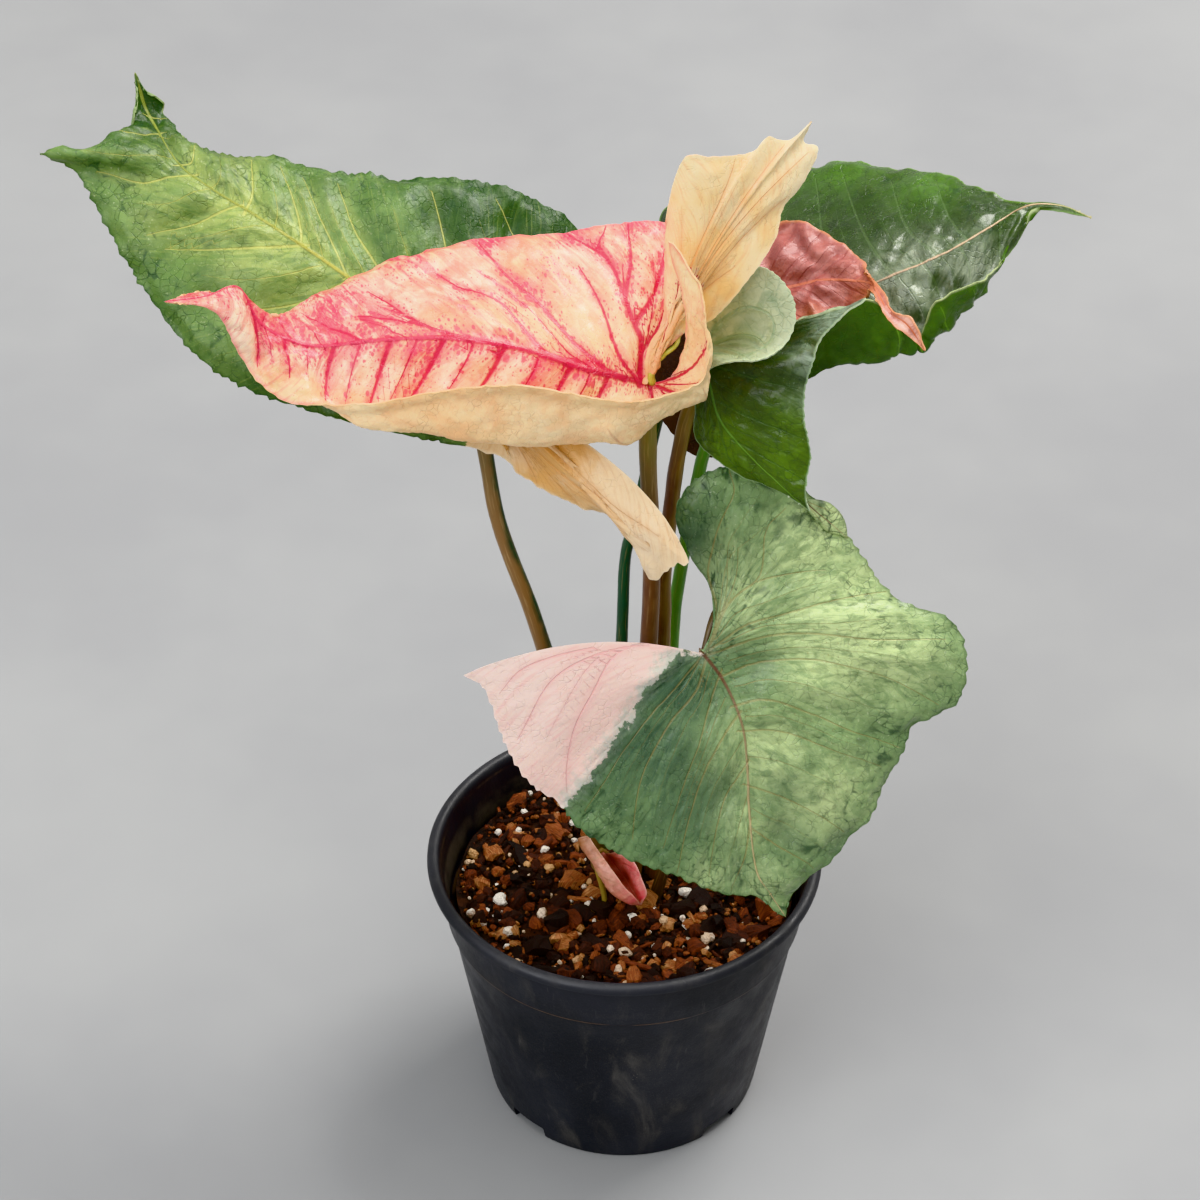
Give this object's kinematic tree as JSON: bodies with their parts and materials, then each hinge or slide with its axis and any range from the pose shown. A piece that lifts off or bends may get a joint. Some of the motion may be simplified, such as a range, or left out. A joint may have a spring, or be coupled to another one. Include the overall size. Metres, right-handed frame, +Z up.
{
  "type": "potted christmas syngonium",
  "caption": "Potted syngonium: tapered black nursery pot with bark mix, long upright stalks and broad folded, curled and drooping arrow-shaped leaves in green, cream and pink.",
  "frame": {"origin": "middle of the pot's foot, on the surface it stands on", "axes": "+Z up along the pot's axis, -Y towards the front of the plant, +X to its right"},
  "size_m": [0.2951, 0.1605, 0.3421],
  "materials": {
    "pot_plastic": "matte",
    "bark_mix": "matte",
    "old_stem": "matte",
    "young_pink": "satin",
    "leaf_light_green": "satin",
    "leaf_cream_pink": "satin",
    "leaf_dark_green": "satin",
    "leaf_salmon": "satin",
    "leaf_blue_green": "satin",
    "leaf_mottled_green": "satin"
  },
  "bodies": {
    "root": {"nursery_pot": "pot_plastic", "potting_mix": "bark_mix", "stem_crown": "old_stem", "new_shoot": "young_pink", "leaf_left_green": "leaf_light_green", "leaf_front_pink": "leaf_cream_pink", "leaf_right_dark": "leaf_dark_green", "leaf_small_salmon": "leaf_salmon", "leaf_drooping": "leaf_blue_green", "leaf_half_moon": "leaf_mottled_green"}
  },
  "joints": []
}
